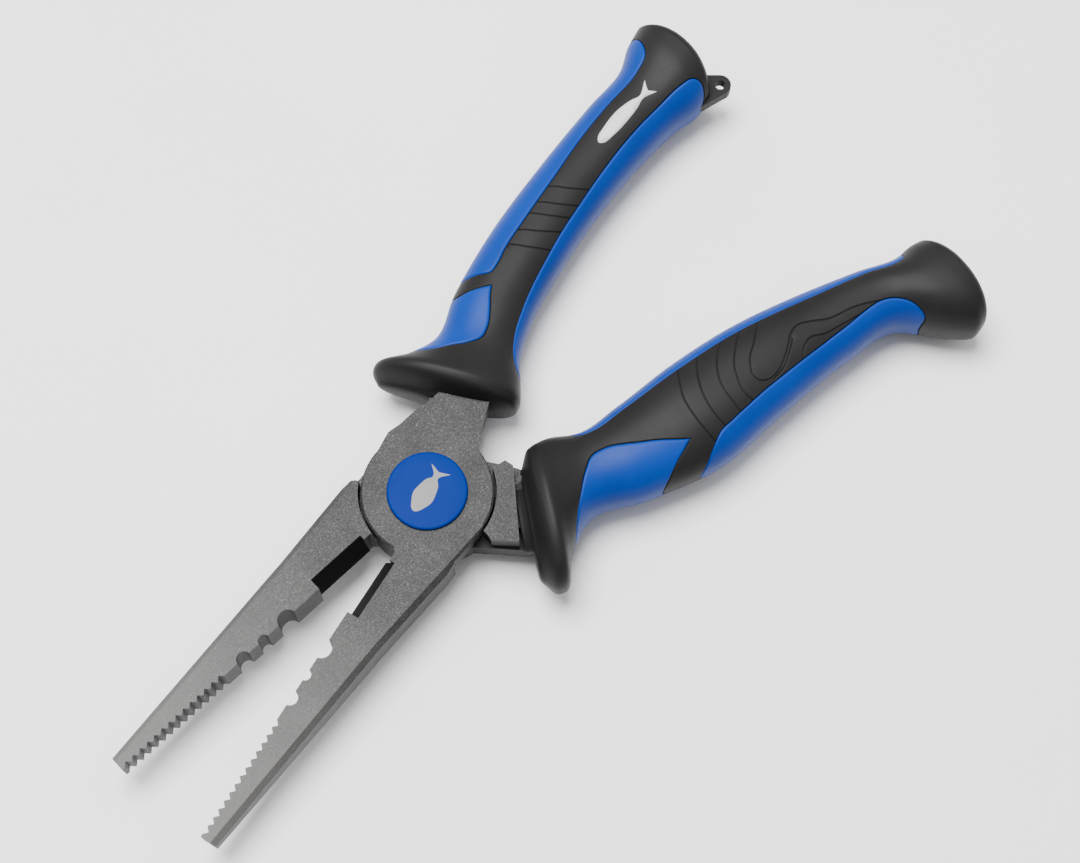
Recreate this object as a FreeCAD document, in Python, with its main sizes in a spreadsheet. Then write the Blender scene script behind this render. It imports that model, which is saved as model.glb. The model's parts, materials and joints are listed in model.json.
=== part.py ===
import FreeCAD, Part
import os

import Sketcher

# Fishing pliers: two forged steel levers lapped on one pivot, with moulded grips on their tangs.
#
# Each lever is drawn in its own flat frame: the pivot is the origin, +x runs along the parting
# line of the jaws to the tip, +y is the side on which the lever's own jaw lies, and z = 0 is the
# middle of the joint. The upper lever uses that frame as it is. The lower lever is the same thing
# turned over (y and z change sign), so its jaw, plate and handle lie opposite. A placement then
# turns each lever by half of the rest opening and puts the pivot in its place.

Vector = FreeCAD.Vector
Rotation = FreeCAD.Rotation

doc = FreeCAD.newDocument("fishing_pliers")
sheet = doc.addObject("Spreadsheet::Sheet", "Sheet")
sheet_values = {}


def add_cell(alias, value):
    """Puts one driving dimension in the sheet, under a name."""
    cell = "A" + str(len(sheet_values) + 1)
    sheet.set(cell, str(value))
    sheet.setAlias(cell, alias)
    sheet_values[alias] = float(value)


DIMENSIONS = {
    # where the pivot stands, so that the origin is under the middle of the whole object
    "pivot_x": 19.16,
    "pivot_y": -19.94,
    "pivot_z": 12.06,
    "half_opening": 7.22,
    # steel levers
    "lever_thickness": 11.0,
    "layer_gap": 0.3,
    "boss_radius": 15.5,
    "boss_pocket_radius": 16.1,
    "tang_thickness": 6.0,
    "edge_chamfer": 0.45,
    "jaw_chamfer": 1.3,
    "jaw_length": 92.7,
    "taper_start": 40.0,
    "tip_thickness": 6.0,
    "overcut": 1.0,
    "parting_clearance": 0.05,
    "cutter_start": 18.3,
    "cutter_end": 33.5,
    "cutter_bevel": 2.9,
    "cutter_land": 0.15,
    "tooth_start": 62.2,
    "tooth_pitch": 2.13,
    "tooth_depth": 1.0,
    "tooth_land": 0.08,
    "tooth_count": 14,
    "big_notch_x": 43.5,
    "big_notch_radius": 2.4,
    "big_notch_depth": 2.0,
    "small_notch_x": 50.5,
    "small_notch_radius": 1.35,
    "small_notch_depth": 1.2,
    "middle_notch_x": 56.6,
    "middle_notch_radius": 1.8,
    "middle_notch_depth": 1.6,
    # pivot
    "seat_clearance": 0.02,
    "bolt_radius": 3.96,
    "bolt_thread_radius": 3.0,
    "bolt_thread_length": 2.3,
    "bore_radius": 4.0,
    "head_radius": 6.5,
    "head_seat_radius": 6.7,
    "head_seat_depth": 2.3,
    "head_proud": 0.5,
    "hex_flat": 4.0,
    "hex_depth": 1.6,
    "nut_radius": 6.0,
    "nut_well_radius": 6.9,
    "nut_well_floor": 2.4,
    "nut_thickness": 1.1,
    "spanner_hole_radius": 0.6,
    "washer_clearance": 0.1,
    "tension_washer_radius": 6.5,
    "tension_washer_thickness": 0.5,
    "thrust_washer_radius": 8.4,
    "thrust_washer_thickness": 0.88,
    "thrust_recess_radius": 8.5,
    "thrust_recess_depth": 0.6,
    "cap_radius": 9.4,
    "cap_seat_radius": 9.45,
    "cap_seat_depth": 1.3,
    "cap_proud": 0.9,
    "cap_edge_chamfer": 0.35,
    "emblem_depth": 0.3,
    "spring_radius": 10.6,
    "spring_wire_radius": 0.5,
    "spring_pitch": 1.5,
    "spring_turns": 1.5,
    "spring_groove_inner": 9.6,
    "spring_groove_outer": 11.6,
    "spring_groove_depth": 1.9,
    "spring_leg_length": 1.3,
    "spring_hole_radius": 0.6,
    "spring_hole_spare": 0.2,
    # grips
    "taller_than_grip": 20.0,
    "cover_thickness": 2.4,
    "badge_depth": 0.6,
    "badge_floor": 4.0,
    "tab_thickness": 3.0,
    "tab_end_x": -128.1,
    "tab_end_y": 3.9,
    "tab_end_radius": 2.7,
    "tab_hole_radius": 1.25,
}

# Outlines as corner points (x, y) in the lever's frame, where a word stands for a dimension
# above. The shank outlines differ because the upper handle runs nearly straight back and the
# lower one leans well outward.
OUTLINES = {
    "jaw": [(6.0, "parting_clearance"), (14.6, "parting_clearance"), (16.4, 1.6),
            ("cutter_start", 1.6), ("cutter_start", "parting_clearance"),
            ("jaw_length", "parting_clearance"), ("jaw_length", 3.9), (36.0, 10.9),
            (14.0, 14.4), (11.0, 14.4), (7.0, 10.0)],
    # fills the hollow between the round plate and the jaw's back
    "jaw_fairing": [(0.0, 15.35), (6.3, 14.95), (13.0, 13.9), (12.0, 8.0), (0.0, 8.0)],
    "upper_web": [(-2.0, 5.0), (-10.9, 10.4), (-13.0, 6.9), (-14.6, 5.0), (-17.4, 3.2),
                  (-27.0, 0.2), (-24.0, -10.5), (-18.6, -11.6), (-17.1, -12.6), (-10.3, -14.4),
                  (-7.4, -15.6), (-2.6, -15.2), (-2.0, -5.0)],
    "upper_block": [(-12.0, 2.6), (-22.0, 0.2), (-20.5, -8.5), (-17.0, -12.0), (-10.0, -13.9)],
    "upper_tang": [(-13.0, -2.0), (-27.0, -2.6), (-34.0, -6.8), (-60.0, -8.6), (-104.0, -7.0),
                   (-112.0, -5.6), (-113.5, -13.5), (-104.0, -16.0), (-60.0, -18.6),
                   (-30.0, -14.4), (-15.0, -11.5)],
    "lower_web": [(-6.0, -1.0), (-15.3, -1.8), (-17.6, -5.1), (-20.2, -9.2), (-21.6, -13.2),
                  (-10.6, -27.2), (-8.2, -25.4), (-2.6, -19.2), (0.6, -15.8), (3.4, -15.1),
                  (2.0, -8.0)],
    "lower_block": [(-9.0, -4.0), (-16.0, -6.5), (-18.2, -6.9), (-18.7, -9.1), (-13.4, -15.7),
                    (-7.2, -23.3), (-2.7, -18.6), (-3.0, -17.0), (-2.5, -9.0)],
    "lower_tang": [(-15.0, -10.0), (-21.0, -12.5), (-30.0, -17.8), (-58.0, -23.6),
                   (-88.0, -27.2), (-104.0, -31.0), (-110.0, -33.5), (-111.5, -41.0),
                   (-104.0, -38.6), (-86.0, -36.6), (-56.0, -32.6), (-34.0, -25.6),
                   (-21.0, -24.6), (-13.0, -25.0), (-9.5, -20.0)],
    # side panels of the grips, cut through the whole height so that each wraps round its side
    "upper_guard_panel": [(-28.0, -26.0), (-33.0, -14.6), (-37.7, -9.4), (-41.2, -9.2),
                          (-51.0, -13.4), (-51.2, -14.6), (-47.4, -18.2), (-42.6, -26.0)],
    "upper_outer_strip": [(-47.0, -26.0), (-54.6, -16.6), (-58.0, -16.2), (-80.0, -16.8),
                          (-90.0, -17.8), (-106.0, -17.0), (-121.0, -14.9), (-124.4, -15.2),
                          (-127.4, -20.0), (-126.0, -26.0)],
    "upper_inner_strip": [(-33.6, 8.0), (-36.6, 1.2), (-44.3, -3.2), (-52.0, -5.0),
                          (-66.0, -7.0), (-85.0, -7.5), (-106.0, -5.6), (-121.0, -3.0),
                          (-124.2, -1.0), (-123.4, 2.2), (-118.0, 8.0)],
    "lower_guard_panel": [(-13.0, -40.0), (-17.3, -32.1), (-25.8, -24.7), (-31.4, -20.6),
                          (-36.0, -20.8), (-41.0, -23.2), (-53.3, -32.9), (-38.6, -38.0),
                          (-37.0, -44.0)],
    "lower_outer_strip": [(-43.0, -46.0), (-54.8, -38.6), (-59.5, -36.7), (-84.0, -38.0),
                          (-105.0, -38.7), (-111.0, -40.0), (-115.2, -43.2), (-116.0, -48.5),
                          (-110.0, -56.0)],
    "lower_inner_strip": [(-33.0, -6.0), (-34.1, -14.0), (-41.0, -15.8), (-55.0, -18.0),
                          (-70.0, -19.6), (-84.0, -22.3), (-97.0, -26.0), (-110.0, -30.4),
                          (-122.5, -34.9), (-125.5, -34.0), (-124.0, -24.0)],
    # how far each grip's hard core reaches inside the soft cover
    "upper_core_reach": [(-20.0, -32.0), (-30.0, 12.0), (-121.0, 12.0), (-124.6, -1.0),
                         (-127.0, -9.0), (-127.2, -18.0), (-126.0, -32.0)],
    "lower_core_reach": [(-24.6, -2.0), (-7.6, -44.0), (-118.6, -68.0), (-124.4, -56.0),
                         (-126.6, -48.0), (-127.0, -40.0), (-125.0, -2.0)],
    # everything in front of the curved end of each butt
    "upper_butt_span": [(10.0, -60.0), (-127.0, -60.0), (-128.0, -27.0), (-129.9, -20.5),
                        (-130.7, -15.0), (-130.1, -8.0), (-127.8, -1.5), (-125.4, 2.3),
                        (-122.4, 6.0), (-118.0, 40.0), (10.0, 40.0)],
    "lower_butt_span": [(20.0, -90.0), (-118.0, -90.0), (-122.4, -66.0), (-125.6, -59.7),
                        (-127.7, -55.7), (-129.7, -49.0), (-130.0, -42.0), (-129.3, -37.4),
                        (-127.6, -31.0), (-124.0, 20.0), (20.0, 20.0)],
    # light mark on the upper grip: a plain fish with a forked tail
    "upper_grip_badge": [(-96.4, -10.3), (-99.0, -8.6), (-103.0, -8.0), (-107.0, -8.8),
                         (-111.0, -10.2), (-114.6, -8.6), (-113.2, -10.7), (-114.8, -12.8),
                         (-111.0, -11.2), (-107.0, -12.6), (-103.0, -13.2), (-99.0, -12.2)],
    # silver fish on the cap
    "cap_emblem": [(5.6, 0.0), (3.6, 1.9), (0.6, 2.6), (-2.2, 1.7), (-3.6, 0.7), (-6.0, 2.6),
                   (-5.1, 0.0), (-6.0, -2.6), (-3.6, -0.7), (-2.2, -1.7), (0.6, -2.6),
                   (3.6, -1.9)],
    "lanyard_root": [(-119.5, -0.4), (-127.9, -1.6), (-130.5, 2.6), (-127.2, 6.4), (-119.5, 2.6)],
}

# Grip cross-sections, from the guard's front to the end of the butt. Each is an ellipse that
# stands upright across the handle: its outer and inner side in the lever's frame, and half its
# height. The guard is the widest, the hand sits between it and the flared butt.
GRIP_STATIONS = {
    "upper": [("nose", (-16.4, -24.6), (-24.4, 0.2), 4.5),
              ("guard_rim", (-19.0, -28.0), (-28.8, 5.8), 11.4),
              ("guard", (-20.4, -28.2), (-30.2, 6.0), 11.9),
              ("guard_back", (-25.8, -23.4), (-34.0, 4.2), 10.8),
              ("neck", (-32.0, -20.0), (-39.0, 0.8), 9.2),
              ("finger", (-46.0, -22.0), (-50.0, -2.7), 8.8),
              ("palm", (-64.0, -23.1), (-66.0, -4.0), 8.8),
              ("palm_back", (-86.0, -22.2), (-86.0, -3.7), 8.6),
              ("waist", (-105.0, -20.5), (-103.0, -1.7), 8.8),
              ("butt_root", (-117.4, -19.0), (-112.5, 0.3), 9.4),
              ("butt", (-124.6, -20.9), (-119.4, 2.4), 11.0),
              ("butt_end", (-132.4, -23.9), (-126.2, 6.4), 11.3)],
    "lower": [("nose", (-4.6, -33.0), (-19.6, -9.6), 4.5),
              ("guard_rim", (-6.2, -37.4), (-24.0, -7.8), 11.4),
              ("guard", (-7.7, -38.1), (-25.0, -7.7), 11.9),
              ("guard_back", (-14.3, -33.4), (-29.6, -9.0), 10.8),
              ("neck", (-22.7, -29.7), (-35.3, -12.9), 9.2),
              ("finger", (-37.1, -35.6), (-47.1, -14.7), 9.4),
              ("palm", (-54.9, -41.7), (-63.0, -16.0), 10.0),
              ("palm_back", (-73.9, -42.5), (-79.9, -18.9), 9.6),
              ("waist", (-96.8, -44.0), (-100.5, -25.4), 9.0),
              ("butt_root", (-109.7, -46.4), (-111.6, -29.8), 8.2),
              ("butt", (-119.2, -57.2), (-122.6, -34.6), 11.0),
              ("butt_end", (-125.5, -65.2), (-132.0, -35.0), 11.3)],
}


def corner_aliases(name, number):
    """The two sheet names of an outline's corner: its own, or the dimension it stands on."""
    corner = OUTLINES[name][number]
    return [value if isinstance(value, str) else f"{name}_corner{number}_{axis}"
            for axis, value in zip("xy", corner)]


def fill_sheet():
    """Writes every driving dimension, outline corner and grip section into the sheet."""
    for alias, value in DIMENSIONS.items():
        add_cell(alias, value)
    for name, corners in OUTLINES.items():
        for number, corner in enumerate(corners):
            for alias, value in zip(corner_aliases(name, number), corner):
                if alias != value:
                    add_cell(alias, value)
    for lever, stations in GRIP_STATIONS.items():
        for name, outer, inner, half_height in stations:
            station = f"{lever}_{name}_section"
            add_cell(station + "_outer_x", outer[0])
            add_cell(station + "_outer_y", outer[1])
            add_cell(station + "_inner_x", inner[0])
            add_cell(station + "_inner_y", inner[1])
            add_cell(station + "_half_height", half_height)
    doc.recompute()


class Side:
    """One lever's side: the upper lever as drawn, the lower one turned over."""

    def __init__(self, name, sign):
        self.name = name
        self.sign = sign
        self.turn = self.flip("Sheet.half_opening")

    def flip(self, expression):
        return expression if self.sign > 0 else f"-({expression})"

    def span(self, low, high):
        """The lower end and the length of a stretch of z, as expressions."""
        length = f"({high}) - ({low})"
        start = low if self.sign > 0 else f"-({high})"
        return start, length


UPPER = Side("upper", 1)
LOWER = Side("lower", -1)

TOP = "Sheet.lever_thickness / 2"
BOTTOM = "-Sheet.lever_thickness / 2"
PLATE_FACE = "Sheet.layer_gap / 2"


def stand(item, turn, lift="0"):
    """Puts something drawn in a lever's frame at the pivot, turned about it and lifted."""
    item.setExpression("Placement.Base.x", "Sheet.pivot_x")
    item.setExpression("Placement.Base.y", "Sheet.pivot_y")
    item.setExpression("Placement.Base.z", f"Sheet.pivot_z + {lift}")
    item.Placement.Rotation = Rotation(Vector(0, 0, 1), 1)
    item.setExpression("Placement.Rotation.Angle", turn)
    doc.recompute()


def new_body(label, side):
    """A body drawn in a lever's frame and standing at that lever's place."""
    body = doc.addObject("PartDesign::Body", label)
    body.Label = label
    stand(body, side.turn)
    return body


def origin_plane(body, role):
    return next(feature for feature in body.Origin.OriginFeatures if feature.Role == role)


def new_sketch(body, name, role="XY_Plane", offset="0"):
    """A sketch on one of the body's own origin planes, moved along the plane's normal."""
    sketch = body.newObject("Sketcher::SketchObject", name)
    sketch.AttachmentSupport = [(origin_plane(body, role), "")]
    sketch.MapMode = "FlatFace"
    sketch.setExpression("AttachmentOffset.Base.z", offset)
    return sketch


def draw_corners(sketch, corners):
    """Closed outline of straight lines. Each corner is a pair of (value, expression) pairs."""
    count = len(corners)
    for index in range(count):
        (start_x, _), (start_y, _) = corners[index]
        (end_x, _), (end_y, _) = corners[(index + 1) % count]
        start = Vector(start_x, start_y, 0)
        end = Vector(end_x, end_y, 0)
        sketch.addGeometry(Part.LineSegment(start, end))
    for index in range(count):
        sketch.addConstraint(Sketcher.Constraint("Coincident", index, 2, (index + 1) % count, 1))
    for index, (along, across) in enumerate(corners):
        for kind, (value, expression) in (("DistanceX", along), ("DistanceY", across)):
            number = sketch.addConstraint(Sketcher.Constraint(kind, -1, 1, index, 1, value))
            sketch.setExpression(f"Constraints[{number}]", expression)


def outline_corners(name, side):
    """Corner values and expressions of a named outline, on the lever's side."""
    corners = []
    for number in range(len(OUTLINES[name])):
        alias_x, alias_y = corner_aliases(name, number)
        along = (sheet_values[alias_x], f"Sheet.{alias_x}")
        across = (side.sign * sheet_values[alias_y], side.flip(f"Sheet.{alias_y}"))
        corners.append((along, across))
    return corners


def draw_circle(sketch, radius, x="0", y="0"):
    """A circle whose radius and centre are expressions over the sheet."""
    values = [float(sketch.evalExpression(text)) for text in (radius, x, y)]
    circle = Part.Circle(Vector(values[1], values[2], 0), Vector(0, 0, 1), values[0])
    index = sketch.addGeometry(circle)
    number = sketch.addConstraint(Sketcher.Constraint("Radius", index, values[0]))
    sketch.setExpression(f"Constraints[{number}]", radius)
    for kind, value, expression in (("DistanceX", values[1], x), ("DistanceY", values[2], y)):
        number = sketch.addConstraint(Sketcher.Constraint(kind, -1, 1, index, 3, value))
        sketch.setExpression(f"Constraints[{number}]", expression)


def add_feature(body, kind, sketch, length, name):
    """A pad or pocket that runs up from its sketch, checked to change the solid."""
    before = body.Shape.Volume if body.Tip else 0.0
    feature = body.newObject("PartDesign::" + kind, name)
    feature.Profile = sketch
    feature.Reversed = kind == "Pocket"
    feature.setExpression("Length", length)
    sketch.Visibility = False
    doc.recompute()
    if abs(feature.Shape.Volume - before) < 1e-3:
        raise RuntimeError(name + " changes nothing")
    return feature


def pad_outline(body, outline, side, low, high):
    start, length = side.span(low, high)
    sketch = new_sketch(body, f"{body.Label}_{outline}_outline", offset=start)
    draw_corners(sketch, outline_corners(outline, side))
    return add_feature(body, "Pad", sketch, length, f"{body.Label}_{outline}_pad")


def round_feature(body, kind, side, radius, low, high, name, x="0", y="0", inner=None):
    """A disc, or a ring with an inner radius, added or cut between two heights."""
    start, length = side.span(low, high)
    sketch = new_sketch(body, f"{body.Label}_{name}_circle", offset=start)
    draw_circle(sketch, radius, x, side.flip(y) if y != "0" else y)
    if inner:
        draw_circle(sketch, inner, x, y)
    return add_feature(body, kind, sketch, length, f"{body.Label}_{name}")


# ---------------------------------------------------------------- steel levers

def cut_cutter_bevels(body, side):
    """Hollows the wire cutter's two bevels, so that the edge stands at mid-thickness."""
    edge = "Sheet.parting_clearance"
    rim = "Sheet.parting_clearance + Sheet.cutter_bevel"
    for face, sign in (("own", 1), ("far", -1)):
        sketch = new_sketch(body, f"{body.Label}_{face}_bevel_profile", "YZ_Plane",
                            "Sheet.cutter_start")
        land = f"{sign} * Sheet.cutter_land"
        surface = f"{sign} * Sheet.lever_thickness / 2"
        above = f"{sign} * (Sheet.lever_thickness / 2 + Sheet.overcut)"
        points = [("-Sheet.overcut", land), (edge, land), (rim, surface), (rim, above),
                  ("-Sheet.overcut", above)]
        corners = []
        for across, height in points:
            across_expression = side.flip(across)
            corners.append(((float(sketch.evalExpression(across_expression)), across_expression),
                            (float(sketch.evalExpression(height)), height)))
        draw_corners(sketch, corners)
        length = "Sheet.cutter_end - Sheet.cutter_start"
        add_feature(body, "Pocket", sketch, length, f"{body.Label}_{face}_bevel")


def cut_notches(body, side):
    """Three round notches for crimping sleeves, in the parting face."""
    start, length = side.span(BOTTOM, TOP)
    sketch = new_sketch(body, f"{body.Label}_notch_circles", offset=start)
    for notch in ("big", "small", "middle"):
        centre = side.flip(f"Sheet.{notch}_notch_depth - Sheet.{notch}_notch_radius")
        draw_circle(sketch, f"Sheet.{notch}_notch_radius", f"Sheet.{notch}_notch_x", centre)
    add_feature(body, "Pocket", sketch, length, f"{body.Label}_notches")


def cut_teeth(body, side):
    """One V groove across the jaw, repeated along it to the tip."""
    start, length = side.span(BOTTOM, TOP)
    sketch = new_sketch(body, f"{body.Label}_tooth_profile", offset=start)
    points = [("Sheet.tooth_start", "-0.2"),
              ("Sheet.tooth_start + Sheet.tooth_land / 2", "0"),
              ("Sheet.tooth_start + Sheet.tooth_pitch / 2", "Sheet.tooth_depth"),
              ("Sheet.tooth_start + Sheet.tooth_pitch - Sheet.tooth_land / 2", "0"),
              ("Sheet.tooth_start + Sheet.tooth_pitch", "-0.2")]
    corners = []
    for along, across in points:
        across_expression = side.flip(across)
        corners.append(((float(sketch.evalExpression(along)), along),
                        (float(sketch.evalExpression(across_expression)), across_expression)))
    draw_corners(sketch, corners)
    groove = add_feature(body, "Pocket", sketch, length, f"{body.Label}_tooth_gap")
    before = body.Shape.Volume
    pattern = body.newObject("PartDesign::LinearPattern", f"{body.Label}_teeth")
    pattern.Originals = [groove]
    pattern.Direction = (origin_plane(body, "X_Axis"), [""])
    pattern.setExpression("Length", "Sheet.tooth_pitch * (Sheet.tooth_count - 1)")
    pattern.setExpression("Occurrences", "Sheet.tooth_count")
    body.Tip = pattern
    doc.recompute()
    if body.Shape.Volume > before - 1.0:
        raise RuntimeError("the teeth are not cut")


def chamfer_edges(body, name, size, wanted):
    """A chamfer along the edges that a test accepts."""
    base = body.Tip
    edges = [f"Edge{number + 1}" for number, edge in enumerate(base.Shape.Edges) if wanted(edge)]
    chamfer = body.newObject("PartDesign::Chamfer", name)
    chamfer.Base = (base, edges)
    chamfer.setExpression("Size", size)
    body.Tip = chamfer
    doc.recompute()


def taper_jaw(body, side):
    """Thins the jaw evenly on both faces, from the first notch to the tip."""
    offset = "-Sheet.boss_radius" if side.sign > 0 else "-Sheet.overcut"
    past_tip = "Sheet.jaw_length + Sheet.overcut"
    for face, sign in (("top", 1), ("bottom", -1)):
        sketch = new_sketch(body, f"{body.Label}_{face}_taper_profile", "XZ_Plane", offset)
        surface = f"{sign} * Sheet.lever_thickness / 2"
        above = f"{sign} * (Sheet.lever_thickness / 2 + Sheet.overcut)"
        tip = f"{sign} * Sheet.tip_thickness / 2"
        points = [("Sheet.taper_start", surface), ("Sheet.jaw_length", tip), (past_tip, tip),
                  (past_tip, above), ("Sheet.taper_start", above)]
        corners = [((float(sketch.evalExpression(along)), along),
                    (float(sketch.evalExpression(height)), height)) for along, height in points]
        draw_corners(sketch, corners)
        add_feature(body, "Pocket", sketch, "Sheet.boss_radius + Sheet.overcut",
                    f"{body.Label}_{face}_taper")


def lies_at(edge, height):
    box = edge.BoundBox
    return abs(box.ZMin - height) < 1e-6 and abs(box.ZMax - height) < 1e-6


def is_back_rim(edge, side):
    """A straight edge between the jaw's back and either face, beyond the cutter's start."""
    middle = edge.valueAt((edge.FirstParameter + edge.LastParameter) / 2)
    on_back = middle.x > sheet_values["cutter_start"] and side.sign * middle.y > 3.0
    on_face = abs(middle.z) > sheet_values["tip_thickness"] / 3
    runs_along = edge.BoundBox.XLength > edge.BoundBox.YLength
    return on_back and on_face and runs_along and edge.Curve.TypeId == "Part::GeomLine"


def spring_leg_place(side):
    """Where the spring's leg stands in this lever, as x and y expressions."""
    return ("Sheet.spring_radius", "0") if side.sign > 0 else ("-Sheet.spring_radius", "0")


def make_lever(side):
    """One forged lever: jaw, joint plate, shank and the tang that carries the grip."""
    body = new_body(f"{side.name}_lever", side)
    round_feature(body, "Pad", side, "Sheet.boss_radius", PLATE_FACE, TOP, "plate")
    plate_height = side.sign * sheet_values["lever_thickness"] / 2
    chamfer_edges(body, f"{side.name}_plate_rim", "Sheet.edge_chamfer",
                  lambda edge: lies_at(edge, plate_height))
    pad_outline(body, f"{side.name}_web", side, PLATE_FACE, TOP)
    pad_outline(body, "jaw_fairing", side, PLATE_FACE, TOP)
    pad_outline(body, "jaw", side, BOTTOM, TOP)
    pad_outline(body, f"{side.name}_block", side, BOTTOM, TOP)
    round_feature(body, "Pocket", side, "Sheet.boss_pocket_radius", BOTTOM, PLATE_FACE, "mate_pocket")
    taper_jaw(body, side)
    chamfer_edges(body, f"{side.name}_rims", "Sheet.jaw_chamfer",
                  lambda edge: is_back_rim(edge, side))
    tang_half = "Sheet.tang_thickness / 2"
    pad_outline(body, f"{side.name}_tang", side, "-" + tang_half, tang_half)
    round_feature(body, "Pocket", side, "Sheet.boss_pocket_radius", BOTTOM, PLATE_FACE,
                  "tang_clearance")
    cut_cutter_bevels(body, side)
    cut_notches(body, side)
    cut_teeth(body, side)
    round_feature(body, "Pocket", side, "Sheet.bore_radius", PLATE_FACE, TOP, "bore")
    groove_top = f"{PLATE_FACE} + Sheet.spring_groove_depth"
    round_feature(body, "Pocket", side, "Sheet.spring_groove_outer", PLATE_FACE, groove_top,
                  "spring_groove", inner="Sheet.spring_groove_inner")
    hole_top = f"{groove_top} + Sheet.spring_leg_length + Sheet.spring_hole_spare"
    leg_x, leg_y = spring_leg_place(side)
    round_feature(body, "Pocket", side, "Sheet.spring_hole_radius", groove_top, hole_top,
                  "spring_leg_hole", leg_x, leg_y)
    return body


def make_upper_lever():
    """The upper lever also holds the cap and, under it, the well for the nut."""
    body = make_lever(UPPER)
    cap_floor = f"{TOP} - Sheet.cap_seat_depth"
    round_feature(body, "Pocket", UPPER, "Sheet.cap_seat_radius", cap_floor, TOP, "cap_seat")
    round_feature(body, "Pocket", UPPER, "Sheet.nut_well_radius", "Sheet.nut_well_floor",
                  cap_floor, "nut_well")
    return body


def make_lower_lever():
    """The lower lever takes the bolt's head underneath and the thrust washer on its plate."""
    body = make_lever(LOWER)
    head_floor = f"{TOP} - Sheet.head_seat_depth"
    round_feature(body, "Pocket", LOWER, "Sheet.head_seat_radius", head_floor, TOP, "head_seat")
    recess_floor = f"{PLATE_FACE} + Sheet.thrust_recess_depth"
    round_feature(body, "Pocket", LOWER, "Sheet.thrust_recess_radius", PLATE_FACE, recess_floor,
                  "washer_recess")
    return body


# ---------------------------------------------------------------- pivot

def make_pivot_bolt():
    """Shoulder bolt: low round head with a hex socket, plain shank, thinner threaded end."""
    body = new_body("pivot_bolt", LOWER)
    head_top = f"{TOP} - Sheet.head_seat_depth + Sheet.seat_clearance"
    head_low = f"{TOP} + Sheet.head_proud"
    round_feature(body, "Pad", LOWER, "Sheet.head_radius", head_top, head_low, "head")
    shank_end = "Sheet.nut_well_floor"
    round_feature(body, "Pad", UPPER, "Sheet.bolt_radius", f"-({head_top})", shank_end, "shank")
    round_feature(body, "Pad", UPPER, "Sheet.bolt_thread_radius", shank_end,
                  "Sheet.nut_well_floor + Sheet.tension_washer_thickness + Sheet.nut_thickness",
                  "threaded_end")
    start, length = LOWER.span(f"{head_low} - Sheet.hex_depth", head_low)
    sketch = new_sketch(body, "pivot_bolt_hexagon", offset=start)
    corners = []
    for number in range(6):
        along = f"Sheet.hex_flat / sqrt(3) * cos({60 * number} deg)"
        across = f"Sheet.hex_flat / sqrt(3) * sin({60 * number} deg)"
        corners.append(((float(sketch.evalExpression(along)), along),
                        (float(sketch.evalExpression(across)), across)))
    draw_corners(sketch, corners)
    add_feature(body, "Pocket", sketch, length, "pivot_bolt_socket")
    underside = body.Tip.Shape.BoundBox.ZMin
    chamfer_edges(body, "pivot_bolt_head_rim", "Sheet.head_proud * 0.8",
                  lambda edge: lies_at(edge, underside) and edge.Length > 20)
    return body


def make_ring(label, outer, inner, low, high):
    """A flat ring round the pivot, which stays with the lower lever."""
    body = new_body(label, LOWER)
    round_feature(body, "Pad", UPPER, outer, low, high, "ring", inner=inner)
    return body


def make_pivot_nut():
    """Round nut with two spanner holes, at the bottom of the well under the cap."""
    low = "Sheet.nut_well_floor + Sheet.tension_washer_thickness"
    high = f"{low} + Sheet.nut_thickness"
    body = make_ring("pivot_nut", "Sheet.nut_radius", "Sheet.bolt_thread_radius", low, high)
    middle = "(Sheet.nut_radius + Sheet.bolt_thread_radius) / 2"
    for name, place in (("left", f"-({middle})"), ("right", middle)):
        round_feature(body, "Pocket", UPPER, "Sheet.spanner_hole_radius", low, high,
                      name + "_spanner_hole", x=place)
    return body


def make_tension_washer():
    """Spring washer between the nut and the floor of the well."""
    low = "Sheet.nut_well_floor + Sheet.seat_clearance"
    high = "Sheet.nut_well_floor + Sheet.tension_washer_thickness"
    return make_ring("tension_washer", "Sheet.tension_washer_radius",
                     "Sheet.bolt_thread_radius + Sheet.washer_clearance", low, high)


def make_thrust_washer():
    """Flat washer that keeps the two plates apart."""
    low = f"-({PLATE_FACE}) - Sheet.thrust_recess_depth"
    high = f"{low} + Sheet.thrust_washer_thickness"
    return make_ring("thrust_washer", "Sheet.thrust_washer_radius",
                     "Sheet.bore_radius + Sheet.washer_clearance", low, high)


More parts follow.
